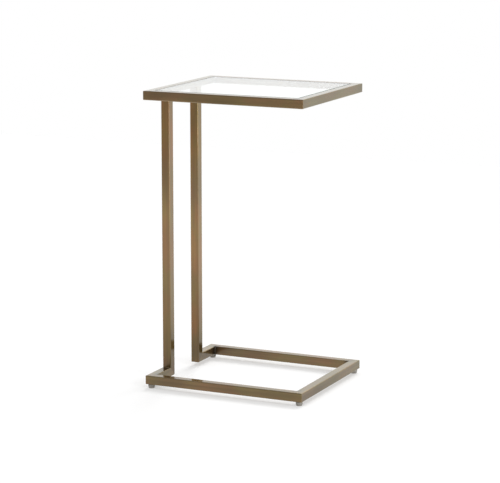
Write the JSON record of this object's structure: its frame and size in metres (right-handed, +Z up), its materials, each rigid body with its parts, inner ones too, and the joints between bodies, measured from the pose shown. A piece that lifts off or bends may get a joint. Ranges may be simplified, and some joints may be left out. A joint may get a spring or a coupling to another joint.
{
  "type": "pull-up table",
  "caption": "C-shaped pull-up side table: square-tube frame on two posts at one side, glass pane let flush into the top, base open between the posts, screw-out levelling feet.",
  "frame": {"origin": "on the floor under the middle of the table: the bottom centre of its bounding box", "axes": "+Z up; +X towards the open side of the C, away from the posts; +Y from the front to the back"},
  "size_m": [0.376, 0.33, 0.66],
  "materials": {
    "bronzed_steel": "brushed, antique bronze plated and lacquered, satin",
    "clear_glass": "clear toughened glass, polished, ground arrises",
    "clear_bumper": "clear soft polyurethane",
    "plated_steel": "zinc plated",
    "grey_nylon": "moulded nylon, matt"
  },
  "bodies": {
    "frame": {"top_front_rail": "bronzed_steel", "top_right_rail": "bronzed_steel", "top_back_rail": "bronzed_steel", "top_left_rail": "bronzed_steel", "top_front_ledge": "bronzed_steel", "top_right_ledge": "bronzed_steel", "top_back_ledge": "bronzed_steel", "top_left_ledge": "bronzed_steel", "front_post": "bronzed_steel", "base_front_stub": "bronzed_steel", "base_front_rail": "bronzed_steel", "base_right_rail": "bronzed_steel", "base_back_rail": "bronzed_steel", "base_back_stub": "bronzed_steel", "back_post": "bronzed_steel", "glass_bumpers": "clear_bumper", "foot_inserts": "plated_steel"},
    "pane": {"glass_top": "clear_glass"},
    "pad_front_left": {"foot_pad_front_left": "grey_nylon"},
    "screw_front_left": {"foot_stud_front_left": "plated_steel", "foot_grip_front_left": "grey_nylon"},
    "pad_front_right": {"foot_pad_front_right": "grey_nylon"},
    "screw_front_right": {"foot_stud_front_right": "plated_steel", "foot_grip_front_right": "grey_nylon"},
    "pad_back_right": {"foot_pad_back_right": "grey_nylon"},
    "screw_back_right": {"foot_stud_back_right": "plated_steel", "foot_grip_back_right": "grey_nylon"},
    "pad_back_left": {"foot_pad_back_left": "grey_nylon"},
    "screw_back_left": {"foot_stud_back_left": "plated_steel", "foot_grip_back_left": "grey_nylon"}
  },
  "joints": [
    {"name": "pane_lift", "type": "slide", "parent": "frame", "child": "pane", "axis": [0, 0, 1], "range_m": [0, 0.05]},
    {"name": "foot_lift_front_left", "type": "slide", "parent": "frame", "child": "pad_front_left", "axis": [0, 0, -1], "range_m": [0, 0.008]},
    {"name": "foot_turn_front_left", "type": "hinge", "parent": "pad_front_left", "child": "screw_front_left", "pos_m": [-0.178, -0.155, 0.009], "axis": [0, 0, -1], "range_deg": [0, 2880.1]},
    {"name": "foot_lift_front_right", "type": "slide", "parent": "frame", "child": "pad_front_right", "axis": [0, 0, -1], "range_m": [0, 0.008]},
    {"name": "foot_turn_front_right", "type": "hinge", "parent": "pad_front_right", "child": "screw_front_right", "pos_m": [0.178, -0.155, 0.009], "axis": [0, 0, -1], "range_deg": [0, 2880.1]},
    {"name": "foot_lift_back_right", "type": "slide", "parent": "frame", "child": "pad_back_right", "axis": [0, 0, -1], "range_m": [0, 0.008]},
    {"name": "foot_turn_back_right", "type": "hinge", "parent": "pad_back_right", "child": "screw_back_right", "pos_m": [0.178, 0.155, 0.009], "axis": [0, 0, -1], "range_deg": [0, 2880.1]},
    {"name": "foot_lift_back_left", "type": "slide", "parent": "frame", "child": "pad_back_left", "axis": [0, 0, -1], "range_m": [0, 0.008]},
    {"name": "foot_turn_back_left", "type": "hinge", "parent": "pad_back_left", "child": "screw_back_left", "pos_m": [-0.178, 0.155, 0.009], "axis": [0, 0, -1], "range_deg": [0, 2880.1]}
  ],
  "couplings": [
    {"joint": "foot_turn_front_left", "follows": "foot_lift_front_left", "rad_per_m": 6283.2},
    {"joint": "foot_turn_front_right", "follows": "foot_lift_front_right", "rad_per_m": 6283.2},
    {"joint": "foot_turn_back_right", "follows": "foot_lift_back_right", "rad_per_m": 6283.2},
    {"joint": "foot_turn_back_left", "follows": "foot_lift_back_left", "rad_per_m": 6283.2}
  ]
}
